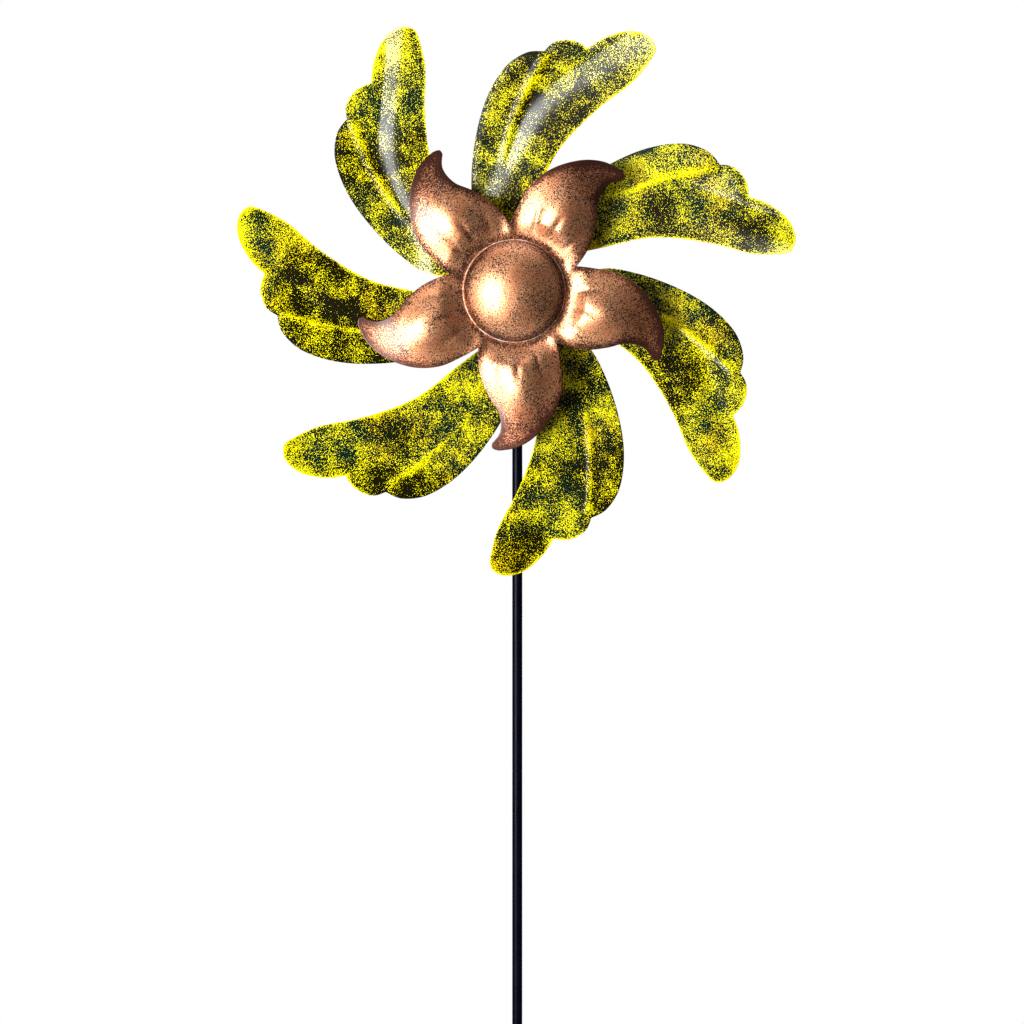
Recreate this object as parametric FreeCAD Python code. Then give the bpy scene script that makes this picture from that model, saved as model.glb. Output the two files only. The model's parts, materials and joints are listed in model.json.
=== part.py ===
"""Wind spinner on a ground stake: a seven-leaf wheel and a five-petal flower on one fixed axle.

Millimetres, +Z up.  The origin is the ground line on the pole's axis, where the ground spike
begins.  The spinner faces -Y, and X runs to the right of someone who looks at its face.
"""
import FreeCAD, Part
import math
import os

from FreeCAD import Vector

# ---------------------------------------------------------------------------- driving dimensions

# Stake
AXLE_Z = 1410.0                 # height of the axle above the ground line
POLE_R = 5.5
POLE_BORE_R = 4.5
UPPER_JOINT_Z = AXLE_Z - 523.0  # flush joint between the upper and the middle pole section
LOWER_JOINT_Z = UPPER_JOINT_Z - 523.0
JOINT_BEVEL = 0.35              # small bevel on each tube end at a joint
COUPLING_HALF = 38.0            # how far a coupling plug reaches into each section
SLIP = 0.02                     # gap of a part that is pressed or slid home, or lies on another
SPIKE_R = 5.0
SPIKE_SHANK = 120.0             # straight part of the spike, the part that grips the soil
SPIKE_TIP_Z = -190.0
FORK_ROD_R = 3.0
FORK_HALF_SPAN = 50.0
FORK_TOP_Z = 30.0
FORK_BEND_R = 14.0
FORK_TIP_Z = -176.0
FORK_Y = POLE_R + FORK_ROD_R    # the fork's rod lies against the back of the pole
WELD_R = 1.9

# Head and axle
AXLE_R = 4.0
AXLE_REAR_Y = 28.0
AXLE_FRONT_Y = -99.0
HEAD_SLEEVE_R = 10.0
HEAD_SLEEVE_HALF = 18.0
SOCKET_R = 8.5
SOCKET_BORE_R = POLE_R + 0.05   # running fit on the pole
SOCKET_DEPTH = 55.0             # from the axle down to the socket's mouth
POLE_TOP_Z = AXLE_Z - 12.0
CLAMP_SCREW_Z = AXLE_Z - 40.0
CLAMP_SCREW_R = 2.5
WASHER_T = 1.6
WASHER_R = 8.0
NUT_FLATS = 13.0
NUT_T = 6.5
LOCK_COLLAR_R = 5.9             # round collar of the lock nut and the pocket in it for the insert
LOCK_COLLAR_T = 2.4
LOCK_POCKET_R = 5.2
SPACER_R = 6.0

# 608 ball bearings, two in each wheel
BEARING_W = 7.0
BEARING_R = 11.0
BALL_R = 1.985
BALL_PITCH_R = 7.5
BALLS = 7
GROOVE_R = 2.06
INNER_RING_R = 6.05
OUTER_RING_BORE_R = 9.2
CAGE_HALF = 0.45                # half the thickness of the cage's band
HUB_R = 14.0
HUB_LEN = 24.0
FLANGE_T = 3.0

# Rivets
RIVET_R = 1.58
RIVET_HOLE_R = 1.6
RIVET_HEAD_R = 2.8
RIVET_HEAD_T = 1.2

# Stations along the axle, rear to front: y falls towards the face
LEAF_HUB_Y = -30.0
FLOWER_HUB_Y = -64.0
LEAF_PLATE_Y = -44.0            # rear face of the disc that carries the leaves
LEAF_PLATE_T = 1.5
LEAF_PLATE_R = 58.0
FLOWER_SEAT_Y = -80.0           # front face of the flower hub's flange

# Leaf wheel
LEAVES = 7
LEAF_T = 0.8
LEAF_REAR_Y = LEAF_PLATE_Y - LEAF_PLATE_T - SLIP
LEAF_PHASE = 24.0               # turn of the first leaf from straight up, degrees
LEAF_ROOT_ANGLE = 128.0         # direction of the root tab when the leaf's tip is straight up
LEAF_TAB_HALF = 13.0
LEAF_PITCH = 0.07               # slope across the blade; its inner edge stands forward
LEAF_STEP = 5.2                 # height gained over the steep band in the blade's middle
LEAF_VEIN = 2.0                 # height of the raised vein
LEAF_VALLEY = 0.8               # depth of the trough between the vein and the band
LEAF_DISH = 40.0                # how far the tips stand in front of the roots
LEAF_FLANGE_R = 24.0
PLATE_RIVET_R = 19.0
PLATE_RIVET_ANGLES = (30.0, 150.0, 270.0)

# M4 screws that hold the leaves, each with a washer and a nut behind the plate
LEAF_SCREW_R = (38.0, 51.0)     # distance of each leaf's two screws from the axle
SCREW_SEAT_Y = LEAF_REAR_Y - LEAF_T - SLIP
SCREW_SHANK_R = 2.0
SCREW_HOLE_R = 2.1
LEAF_WASHER_R = 4.5
LEAF_WASHER_T = 0.8
LEAF_NUT_FLATS = 7.0
LEAF_NUT_T = 3.2

# Flower wheel
PETALS = 5
PETAL_STEP = 360.0 / PETALS
FLOWER_T = 0.8
FLOWER_PHASE = 28.0             # turn of the first petal from straight up, degrees
PETAL_AXIS = 12.0               # the petal's middle line leans this far back from its tip, degrees
PETAL_BULGE = 13.5              # height of the round swell of each petal
PETAL_BULGE_R = 96.0            # its distance from the axle
PETAL_BULGE_LONG = 40.0         # its spread along the petal
PETAL_BULGE_WIDE = 31.0         # its spread across the petal
PETAL_PITCH = 0.06              # slope across the outer half of a petal
PETAL_FOLDS = ((-18.0, 0.8), (-1.5, 1.3), (14.0, 1.2))  # angle and depth of the gathers by the cap
PETAL_SADDLE = 1.8              # height of the small rise between two petals
FLOWER_FLANGE_R = 32.0
FLOWER_RIVET_R = 23.0
RING_RIVET_R = 42.0
CAP_SEAT_Y = FLOWER_SEAT_Y - FLOWER_T - 3 * SLIP    # just clear of the flower's flat middle
CAP_RING_R = 52.6
CAP_RING_BORE_R = 36.0
CAP_RING_WALL = 3.2             # height of the ring's upright wall
CAP_T = 0.8
CAP_BEAD_R = 1.15               # radius of the rolled bead's own section
CAP_APEX_Y = -104.5
CAP_RISE = 19.0                 # from the apex back to the shoulder above the skirt

FORWARD = Vector(0, -1, 0)
BACKWARD = Vector(0, 1, 0)
HUB_CENTRE = Vector(0, 0, AXLE_Z)


# ---------------------------------------------------------------------------- helpers

def save(name, shape):
    """Write one node's solid or group of solids."""
    shape.exportStep("parts/" + name + ".step")


def on_axle(radius, rear_y, front_y):
    """A round bar on the axle line from rear_y forward to front_y."""
    return Part.makeCylinder(radius, rear_y - front_y, Vector(0, rear_y, AXLE_Z), FORWARD)


def ring_on_axle(outer, inner, rear_y, front_y):
    return on_axle(outer, rear_y, front_y).cut(on_axle(inner, rear_y + 1, front_y - 1))


def turned_on_axle(profile):
    """Turn a closed profile of (radius, y) points about the axle line."""
    points = [Vector(radius, y, AXLE_Z) for radius, y in profile]
    face = Part.Face(Part.makePolygon(points + points[:1]))
    return face.revolve(HUB_CENTRE, BACKWARD, 360)


def turned_on_pole(profile):
    """Turn a closed profile of (radius, z) points about the pole's axis."""
    points = [Vector(radius, 0, z) for radius, z in profile]
    face = Part.Face(Part.makePolygon(points + points[:1]))
    return face.revolve(Vector(0, 0, 0), Vector(0, 0, 1), 360)


def hexagon_bar(flats, length, centre, direction=FORWARD):
    """A hexagonal bar along Y, from centre towards direction."""
    corner_r = flats / math.sqrt(3.0)
    points = []
    for corner in range(6):
        angle = math.radians(60.0 * corner)
        points.append(centre + Vector(corner_r * math.cos(angle), 0, corner_r * math.sin(angle)))
    return Part.Face(Part.makePolygon(points + points[:1])).extrude(direction * length)


def bevelled_hexagon(flats, length, centre, bevel_both=True):
    """A hexagonal bar whose corners are turned off, as on a nut; it runs forward from centre."""
    end_r = flats / 2 + 0.15
    wide_r = end_r + 1.7 * length
    bar = hexagon_bar(flats, length, centre)
    bar = bar.common(Part.makeCone(wide_r, end_r, length, centre, FORWARD))
    if bevel_both:
        bar = bar.common(Part.makeCone(end_r, wide_r, length, centre, FORWARD))
    return bar


def hub_direction(angle_deg, radius, y):
    """The point at a radius and an angle (from +X towards +Z) round the axle."""
    angle = math.radians(angle_deg)
    return Vector(radius * math.cos(angle), y, AXLE_Z + radius * math.sin(angle))


def turned_copy(shape, angle_deg):
    """A copy turned about the axle, from +X towards +Z."""
    copy = shape.copy()
    copy.rotate(HUB_CENTRE, BACKWARD, -angle_deg)
    return copy


def smooth_step(value, low, high):
    t = min(max((value - low) / (high - low), 0.0), 1.0)
    return t * t * (3.0 - 2.0 * t)


def stamped_sheet(outline, height, box, step, rear_y, thickness):
    """Sheet metal pressed to y = rear_y - height(u, v), cut to an outline and thickened forward.

    The outline is a face in the XZ plane about the origin, and box is its (u, v) extent.
    """
    u_low, u_high, v_low, v_high = box
    u_step, v_step = step
    rows = []
    for u_index in range(int(round((u_high - u_low) / u_step)) + 1):
        u = u_low + u_index * u_step
        row = []
        for v_index in range(int(round((v_high - v_low) / v_step)) + 1):
            v = v_low + v_index * v_step
            row.append(Vector(u, rear_y - height(u, v), AXLE_Z + v))
        rows.append(row)
    pressed = Part.BSplineSurface()
    pressed.interpolate(rows)
    cutter = outline.copy()
    cutter.translate(Vector(0, rear_y + 100, AXLE_Z))
    cutter = cutter.extrude(FORWARD * 200)
    blank = cutter.common(pressed.toShape()).Faces[0]
    return blank.extrude(FORWARD * thickness)


def flat_point(u, v):
    return Vector(u, 0, v)


def spline_edge(points):
    curve = Part.BSplineCurve()
    curve.interpolate([flat_point(u, v) for u, v in points])
    return curve.toShape()


def arc_edge(start, middle, end):
    return Part.Arc(flat_point(*start), flat_point(*middle), flat_point(*end)).toShape()


# ---------------------------------------------------------------------------- stake

def pole_section(z_low, z_high):
    """Tube with bevelled ends, so that a flush joint shows as a fine line."""
    edge_r = POLE_R - JOINT_BEVEL
    return turned_on_pole([(POLE_BORE_R, z_low), (edge_r, z_low), (POLE_R, z_low + JOINT_BEVEL),
                           (POLE_R, z_high - JOINT_BEVEL), (edge_r, z_high), (POLE_BORE_R, z_high)])


def coupling(joint_z):
    """Solid plug half in each section, with a lead-in bevel at both ends."""
    radius = POLE_BORE_R - SLIP
    bevel = 1.0
    return turned_on_pole([(0, joint_z - COUPLING_HALF), (radius - bevel, joint_z - COUPLING_HALF),
                           (radius, joint_z - COUPLING_HALF + bevel),
                           (radius, joint_z + COUPLING_HALF - bevel),
                           (radius - bevel, joint_z + COUPLING_HALF), (0, joint_z + COUPLING_HALF)])


def ground_spike():
    plug_r = POLE_BORE_R - SLIP
    plug_top = 40.0
    return turned_on_pole([(0, plug_top), (plug_r - 1, plug_top), (plug_r, plug_top - 1), (plug_r, 0),
                           (SPIKE_R, 0), (SPIKE_R, -SPIKE_SHANK), (0.8, SPIKE_TIP_Z + 1),
                           (0.3, SPIKE_TIP_Z), (0, SPIKE_TIP_Z)])


def ground_fork():
    """One rod bent to an upside-down U behind the pole, with both ends drawn to a point."""
    point_len = 22.0
    bend_z = FORK_TOP_Z - FORK_BEND_R
    straight = FORK_HALF_SPAN - FORK_BEND_R
    prong_len = bend_z - FORK_TIP_Z - point_len
    down = Vector(0, 0, -1)
    pieces = []
    for side in (-1, 1):
        outward = Vector(side, 0, 0)
        corner = Vector(side * straight, FORK_Y, FORK_TOP_Z)
        prong_top = Vector(side * FORK_HALF_SPAN, FORK_Y, bend_z)
        section = Part.Face(Part.Wire(Part.makeCircle(FORK_ROD_R, corner, Vector(1, 0, 0))))
        pieces.append(Part.makeCylinder(FORK_ROD_R, straight, Vector(0, FORK_Y, FORK_TOP_Z), outward))
        pieces.append(section.revolve(Vector(corner.x, FORK_Y, bend_z), Vector(0, side, 0), 90))
        pieces.append(Part.makeCylinder(FORK_ROD_R, prong_len, prong_top, down))
        pieces.append(Part.makeCone(FORK_ROD_R, 0.5, point_len, prong_top + down * prong_len, down))
    return pieces[0].fuse(pieces[1:]).removeSplitter()


def fork_welds(lower_pole, fork):
    """A bead above and a bead below the rod, in the corners where it meets the pole."""
    beads = []
    bead_half = 2.6
    pole_core = Part.makeCylinder(POLE_R, 20, Vector(0, 0, FORK_TOP_Z - 10))
    for side in (-1, 1):
        bead_y = POLE_R + 0.9
        bead_z = FORK_TOP_Z + side * 2.6
        bead = Part.makeCylinder(WELD_R, 2 * bead_half, Vector(-bead_half, bead_y, bead_z), Vector(1, 0, 0))
        for end in (-bead_half, bead_half):
            bead = bead.fuse(Part.makeSphere(WELD_R, Vector(end, bead_y, bead_z)))
        bead = bead.cut(fork).cut(lower_pole.fuse(pole_core))
        beads.append(max(bead.Solids, key=lambda piece: piece.Volume))
    return Part.makeCompound(beads)


def pole_top_plug():
    """Closes the top of the tube; the head turns on its flat cap."""
    cap_t = 2.0
    shank_r = POLE_BORE_R - SLIP
    shank_z = POLE_TOP_Z - 24.0
    return turned_on_pole([(0, shank_z), (shank_r - 0.6, shank_z), (shank_r, shank_z + 0.6),
                           (shank_r, POLE_TOP_Z - cap_t), (POLE_R - 0.1, POLE_TOP_Z - cap_t),
                           (POLE_R - 0.1, POLE_TOP_Z - 0.6), (POLE_R - 0.7, POLE_TOP_Z), (0, POLE_TOP_Z)])


# ---------------------------------------------------------------------------- head and axle

def axle_head():
    """T-shaped head: a sleeve for the axle across the top of a socket that turns on the pole."""
    sleeve = turned_on_axle([(0, HEAD_SLEEVE_HALF), (HEAD_SLEEVE_R - 1, HEAD_SLEEVE_HALF),
                             (HEAD_SLEEVE_R, HEAD_SLEEVE_HALF - 1), (HEAD_SLEEVE_R, 1 - HEAD_SLEEVE_HALF),
                             (HEAD_SLEEVE_R - 1, -HEAD_SLEEVE_HALF), (0, -HEAD_SLEEVE_HALF)])
    mouth_z = AXLE_Z - SOCKET_DEPTH
    socket = turned_on_pole([(0, mouth_z), (SOCKET_R - 0.8, mouth_z), (SOCKET_R, mouth_z + 0.8),
                             (SOCKET_R, AXLE_Z), (0, AXLE_Z)])
    boss = Part.makeCylinder(5.0, SOCKET_R + 2.0, Vector(0, 0, CLAMP_SCREW_Z), BACKWARD)
    body = sleeve.fuse([socket, boss]).removeSplitter()
    body = body.cut(on_axle(AXLE_R + SLIP, HEAD_SLEEVE_HALF + 1, -HEAD_SLEEVE_HALF - 1))
    bore_top = POLE_TOP_Z + 0.1
    body = body.cut(Part.makeCylinder(SOCKET_BORE_R, bore_top - mouth_z + 1, Vector(0, 0, mouth_z - 1)))
    return body.cut(Part.makeCylinder(CLAMP_SCREW_R, 20, Vector(0, 0, CLAMP_SCREW_Z), BACKWARD))


def clamp_screw():
    """M5 thumb screw with a fluted head; its end stops just short of the pole."""
    start_y = POLE_R + 0.1
    head_y = SOCKET_R + 4.5
    head_t = 6.0
    head_r = 7.0
    flutes = 10
    flute_r = head_r + 0.5
    shank_len = head_y - start_y + 1
    shank = Part.makeCylinder(CLAMP_SCREW_R - SLIP, shank_len, Vector(0, start_y, CLAMP_SCREW_Z), BACKWARD)
    head = Part.makeCylinder(head_r, head_t, Vector(0, head_y, CLAMP_SCREW_Z), BACKWARD)
    head = head.makeChamfer(0.8, [edge for edge in head.Edges if edge.Curve.TypeId == "Part::GeomCircle"])
    for flute in range(flutes):
        angle = 2 * math.pi * flute / flutes
        place = Vector(flute_r * math.cos(angle), head_y - 1, CLAMP_SCREW_Z + flute_r * math.sin(angle))
        head = head.cut(Part.makeCylinder(1.3, head_t + 2, place, BACKWARD))
    return shank.fuse(head).removeSplitter()


def axle():
    bevel = 0.8
    return turned_on_axle([(0, AXLE_REAR_Y), (AXLE_R - bevel, AXLE_REAR_Y), (AXLE_R, AXLE_REAR_Y - bevel),
                           (AXLE_R, AXLE_FRONT_Y + bevel), (AXLE_R - bevel, AXLE_FRONT_Y), (0, AXLE_FRONT_Y)])


def cap_nut(rear_y, seat_y):
    """Acorn nut whose closed dome points to the rear, from its seat at seat_y."""
    hexagon = bevelled_hexagon(NUT_FLATS, NUT_T, Vector(0, seat_y + NUT_T, AXLE_Z), bevel_both=False)
    dome_r = NUT_FLATS / 2 - 0.3
    dome = Part.makeSphere(dome_r, Vector(0, seat_y + NUT_T, AXLE_Z))
    dome = dome.common(on_axle(dome_r + 1, rear_y, seat_y + 1))
    solid = hexagon.fuse(dome).removeSplitter()
    return solid.cut(on_axle(AXLE_R + SLIP, AXLE_REAR_Y + 0.4, seat_y - 1))


def nut_on_axle(rear_y):
    """Plain M8 nut from rear_y forward."""
    nut = bevelled_hexagon(NUT_FLATS, NUT_T, Vector(0, rear_y, AXLE_Z))
    return nut.cut(on_axle(AXLE_R + SLIP, rear_y + 1, rear_y - NUT_T - 1))


def lock_nut(rear_y):
    """Nut with a round collar in front that holds a nylon insert."""
    collar_rear = rear_y - NUT_T
    collar_front = collar_rear - LOCK_COLLAR_T
    nut = bevelled_hexagon(NUT_FLATS, NUT_T, Vector(0, rear_y, AXLE_Z))
    collar = on_axle(LOCK_COLLAR_R, collar_rear + 0.5, collar_front)
    pocket = on_axle(LOCK_POCKET_R, collar_rear, collar_front + 0.4)
    bore = on_axle(AXLE_R + SLIP, rear_y + 1, collar_front - 1)
    return nut.fuse(collar).removeSplitter().cut(pocket).cut(bore)


def lock_nut_insert(rear_y):
    insert_rear = rear_y - NUT_T
    return ring_on_axle(LOCK_POCKET_R - SLIP, AXLE_R + SLIP, insert_rear, insert_rear - LOCK_COLLAR_T + 0.6)


# ---------------------------------------------------------------------------- ball bearings

def bearing_centres(hub_y):
    """Middle station of a hub's rear and front bearing."""
    return (hub_y - BEARING_W / 2, hub_y - HUB_LEN + BEARING_W / 2)


def ball_track(centre_y):
    return Part.makeTorus(BALL_PITCH_R, GROOVE_R, Vector(0, centre_y, AXLE_Z), BACKWARD)


def inner_rings(hub_y):
    half = BEARING_W / 2
    rings = [ring_on_axle(INNER_RING_R, AXLE_R + SLIP, y + half, y - half).cut(ball_track(y))
             for y in bearing_centres(hub_y)]
    return Part.makeCompound(rings)


def outer_rings(hub_y):
    half = BEARING_W / 2
    rings = [ring_on_axle(BEARING_R - SLIP, OUTER_RING_BORE_R, y + half, y - half).cut(ball_track(y))
             for y in bearing_centres(hub_y)]
    return Part.makeCompound(rings)


def bearing_balls(hub_y):
    balls = []
    for y in bearing_centres(hub_y):
        for ball in range(BALLS):
            balls.append(Part.makeSphere(BALL_R, hub_direction(360.0 * ball / BALLS, BALL_PITCH_R, y)))
    return Part.makeCompound(balls)


def bearing_cages(hub_y):
    """Crown cages: a thin band with one pocket for each ball, joined along one side."""
    cages = []
    for y in bearing_centres(hub_y):
        cage = ring_on_axle(BALL_PITCH_R + CAGE_HALF, BALL_PITCH_R - CAGE_HALF, y + 2.7, y - 1.2)
        for ball in range(BALLS):
            start = hub_direction(360.0 * ball / BALLS, BALL_PITCH_R - 3.0, y)
            outward = hub_direction(360.0 * ball / BALLS, BALL_PITCH_R, y) - start
            cage = cage.cut(Part.makeCylinder(BALL_R + 0.1, 6.0, start, outward))
        cages.append(cage)
    return Part.makeCompound(cages)


def bearing_shields(hub_y):
    """A thin cover on each side of each bearing, held by the outer ring."""
    inset = 0.3
    thickness = 0.35
    shields = []
    for y in bearing_centres(hub_y):
        for outer_y in (y + BEARING_W / 2 - inset, y - BEARING_W / 2 + inset + thickness):
            shields.append(ring_on_axle(OUTER_RING_BORE_R - SLIP, INNER_RING_R + 0.3, outer_y,
                                        outer_y - thickness))
    return Part.makeCompound(shields)


def wheel_hub(hub_y, flange_r, flange_rear_y, flange_front_y):
    """Turned hub: a bearing seat at each end, a shoulder between them, and a flange."""
    front_y = hub_y - HUB_LEN
    shoulder_r = BEARING_R - 1.4
    rear_seat_y = hub_y - BEARING_W
    front_seat_y = front_y + BEARING_W
    bevel = 0.8
    return turned_on_axle([
        (BEARING_R, hub_y), (HUB_R - bevel, hub_y), (HUB_R, hub_y - bevel), (HUB_R, flange_rear_y),
        (flange_r, flange_rear_y), (flange_r, flange_front_y), (HUB_R, flange_front_y),
        (HUB_R, front_y + bevel), (HUB_R - bevel, front_y), (BEARING_R, front_y),
        (BEARING_R, front_seat_y), (shoulder_r, front_seat_y), (shoulder_r, rear_seat_y),
        (BEARING_R, rear_seat_y)])


def rivet(angle, radius, rear_face, front_face):
    """Domed head in front and a flat upset head behind, along Y."""
    front = hub_direction(angle, radius, front_face)
    rear = hub_direction(angle, radius, rear_face)
    shank = Part.makeCylinder(RIVET_R, rear_face - front_face, rear, FORWARD)
    head = Part.makeCone(RIVET_HEAD_R, RIVET_HEAD_R * 0.55, RIVET_HEAD_T, front, FORWARD)
    upset = Part.makeCylinder(RIVET_HEAD_R * 0.85, RIVET_HEAD_T * 0.7, rear, BACKWARD)
    return shank.fuse([head, upset])


def drilled(shape, places, hole_r, middle_y):
    """The shape with a hole along Y at each (angle, radius) place, through a sheet at middle_y."""
    reach = 10.0
    holes = []
    for angle, radius in places:
        start = hub_direction(angle, radius, middle_y + reach)
        holes.append(Part.makeCylinder(hole_r, 2 * reach, start, FORWARD))
    return shape.cut(holes)


# ---------------------------------------------------------------------------- leaf wheel

def root_point(distance, side):
    """A point of the root tab: distance out from the axle, side across it (+ is towards the tip)."""
    angle = math.radians(LEAF_ROOT_ANGLE)
    out_u, out_v = math.cos(angle), math.sin(angle)
    return (distance * out_u + side * out_v, distance * out_v - side * out_u)


def leaf_outline():
    """The leaf with its tip straight up: a root tab, a full outer edge with two lobes, and a
    hollow inner edge."""
    inner_screw = LEAF_SCREW_R[0]
    tab_end = LEAF_SCREW_R[1] + 9.0
    tab_left = root_point(tab_end, -LEAF_TAB_HALF)
    tab_right = root_point(tab_end, LEAF_TAB_HALF)
    lobe_one = (-89, 239)
    lobe_two = (-49.5, 262.5)
    tip_right = (17, 285.5)
    edges = [
        arc_edge(root_point(inner_screw, LEAF_TAB_HALF), root_point(inner_screw - LEAF_TAB_HALF, 0),
                 root_point(inner_screw, -LEAF_TAB_HALF)),
        Part.makeLine(flat_point(*root_point(inner_screw, -LEAF_TAB_HALF)), flat_point(*tab_left)),
        spline_edge([tab_left, (-78, 55), (-97, 84), (-113.5, 126.5), (-121.5, 168), (-118.5, 205.5),
                     (-105.5, 229), lobe_one]),
        spline_edge([lobe_one, (-83, 253), (-67, 262.5), lobe_two]),
        spline_edge([lobe_two, (-37.5, 281.5), (-18, 298), (2, 302), (15, 295), tip_right]),
        spline_edge([tip_right, (10, 253), (-7, 218), (-21, 180.5), (-28, 147), (-27, 99), tab_right]),
        Part.makeLine(flat_point(*tab_right), flat_point(*root_point(inner_screw, LEAF_TAB_HALF))),
    ]
    return Part.Face(Part.Wire(edges))


def band_line(v):
    """Middle of the steep band that runs up the leaf and out to its tip."""
    bend = 12.0 * math.log(1.0 + math.exp((v - 185.0) / 12.0))
    return -70.0 + 0.6 * bend


def leaf_vein(u, v):
    """1 on the raised vein that runs up to the first notch, 0 away from it."""
    line = -87.0 + 0.0016 * (v - 200.0) ** 2
    half_width = 2.8 + 1.4 * smooth_step(v, 120.0, 200.0)
    shape = math.exp(-((u - line) / half_width) ** 2) * smooth_step(v, 100.0, 150.0)
    return shape * (1.0 - smooth_step(v, 226.0, 241.0))


def leaf_height(u, v):
    """How far the leaf stands in front of its root tab, at a point of the tip-up leaf."""
    radius = math.hypot(u, v)
    past_band = u - band_line(v)
    pitch = LEAF_PITCH * (u + 76.0)
    step = LEAF_STEP / 2 * math.tanh(past_band / 12.0)
    valley = LEAF_VALLEY * math.exp(-((past_band + 13.0) / 6.0) ** 2) * smooth_step(v, 180.0, 215.0)
    dish = LEAF_DISH * (max(radius - 64.0, 0.0) / 245.0) ** 2
    pressed = smooth_step(radius, 64.0, 112.0)
    return pressed * (pitch + step + LEAF_VEIN * leaf_vein(u, v) - valley) + dish


def leaf_blank():
    """The first leaf with its tip straight up, drilled for its two screws."""
    blank = stamped_sheet(leaf_outline(), leaf_height, (-132.0, 30.0, 6.0, 312.0), (3.0, 6.0), LEAF_REAR_Y,
                          LEAF_T)
    places = [(LEAF_ROOT_ANGLE, distance) for distance in LEAF_SCREW_R]
    return drilled(blank, places, SCREW_HOLE_R, LEAF_REAR_Y).Solids[0]


def leaf_turns():
    return [LEAF_PHASE - 360.0 * leaf / LEAVES for leaf in range(LEAVES)]


def screw_places():
    """(angle, distance) of all the leaf screws."""
    return [(LEAF_ROOT_ANGLE + turn, distance) for turn in leaf_turns() for distance in LEAF_SCREW_R]


def plate_rivet_places():
    return [(angle, PLATE_RIVET_R) for angle in PLATE_RIVET_ANGLES]


def leaf_plate():
    """Disc between the hub flange and the leaves, drilled for the screws and rivets."""
    plate = ring_on_axle(LEAF_PLATE_R, HUB_R + SLIP, LEAF_PLATE_Y, LEAF_PLATE_Y - LEAF_PLATE_T)
    plate = drilled(plate, screw_places(), SCREW_HOLE_R, LEAF_PLATE_Y)
    return drilled(plate, plate_rivet_places(), RIVET_HOLE_R, LEAF_PLATE_Y)


def leaf_hub():
    hub = wheel_hub(LEAF_HUB_Y, LEAF_FLANGE_R, LEAF_PLATE_Y + FLANGE_T, LEAF_PLATE_Y)
    return drilled(hub, plate_rivet_places(), RIVET_HOLE_R, LEAF_PLATE_Y)


def plate_rivets():
    rear_face = LEAF_PLATE_Y + FLANGE_T
    front_face = LEAF_PLATE_Y - LEAF_PLATE_T
    return Part.makeCompound([rivet(angle, radius, rear_face, front_face)
                              for angle, radius in plate_rivet_places()])


def leaf_screw(place):
    """M4 pan-head screw with a cross recess."""
    head_t = 2.4
    head_r = 4.0
    seat = Vector(place.x, SCREW_SEAT_Y, place.z)
    shank_len = LEAF_PLATE_Y + LEAF_WASHER_T + LEAF_NUT_T + 1.2 - SCREW_SEAT_Y
    shank = Part.makeCylinder(SCREW_SHANK_R, shank_len, seat, BACKWARD)
    head = Part.makeCylinder(head_r, head_t, seat, FORWARD)
    rim = [edge for edge in head.Edges if abs(edge.CenterOfMass.y - (SCREW_SEAT_Y - head_t)) < 0.01]
    head = head.makeFillet(1.3, rim[:1])
    for long_x, long_z in ((4.0, 0.8), (0.8, 4.0)):
        slot = Part.makeBox(long_x, 1.4, long_z,
                            Vector(place.x - long_x / 2, SCREW_SEAT_Y - head_t - 0.1, place.z - long_z / 2))
        head = head.cut(slot)
    return head.fuse(shank)


def leaf_fasteners():
    """The screws, washers and nuts of all the leaves, each as one group."""
    screws, washers, nuts = [], [], []
    for angle, distance in screw_places():
        place = hub_direction(angle, distance, 0)
        screws.append(leaf_screw(place))
        seat = Vector(place.x, LEAF_PLATE_Y, place.z)
        washer = Part.makeCylinder(LEAF_WASHER_R, LEAF_WASHER_T, seat, BACKWARD)
        washers.append(washer.cut(Part.makeCylinder(SCREW_HOLE_R, LEAF_WASHER_T, seat, BACKWARD)))
        nut_seat = Vector(place.x, LEAF_PLATE_Y + LEAF_WASHER_T, place.z)
        nut = hexagon_bar(LEAF_NUT_FLATS, LEAF_NUT_T, nut_seat, BACKWARD)
        nuts.append(nut.cut(Part.makeCylinder(SCREW_SHANK_R + SLIP, LEAF_NUT_T, nut_seat, BACKWARD)))
    return Part.makeCompound(screws), Part.makeCompound(washers), Part.makeCompound(nuts)


# ---------------------------------------------------------------------------- flower wheel

def turned_point(point, angle_deg):
    u, v = point
    angle = math.radians(angle_deg)
    return (u * math.cos(angle) - v * math.sin(angle), u * math.sin(angle) + v * math.cos(angle))


def flower_outline():
    """Five flame-shaped petals, cut from one sheet; each starts with its tip straight up."""
    notch = (29.5, 65.0)
    tip_left = (-8, 170)
    tip_right = (1, 163)
    edges = []
    for petal in range(PETALS):
        turn = FLOWER_PHASE - PETAL_STEP * petal

        def turned(points):
            return [turned_point(point, turn) for point in points]

        start = turned_point(notch, PETAL_STEP)
        edges.append(spline_edge(turned([start, (-59, 66), (-65, 92), (-61, 120), (-46, 147), (-28, 163),
                                         tip_left])))
        edges.append(arc_edge(*turned([tip_left, (0, 168.5), tip_right])))
        edges.append(spline_edge(turned([tip_right, (-6, 149), (-2, 131), (10, 116), (21, 99), (27, 82),
                                         notch])))
    return Part.Face(Part.Wire(Part.__sortEdges__(edges)))


def petal_folds(radius, off_axis):
    """Depth of the short gathers where a petal meets the cap."""
    zone = smooth_step(radius, 62.0, 76.0) * (1.0 - smooth_step(radius, 78.0, 104.0))
    depth = 0.0
    for angle, amount in PETAL_FOLDS:
        depth += amount * math.exp(-((off_axis - angle) / 2.4) ** 2)
    return zone * depth


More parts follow.
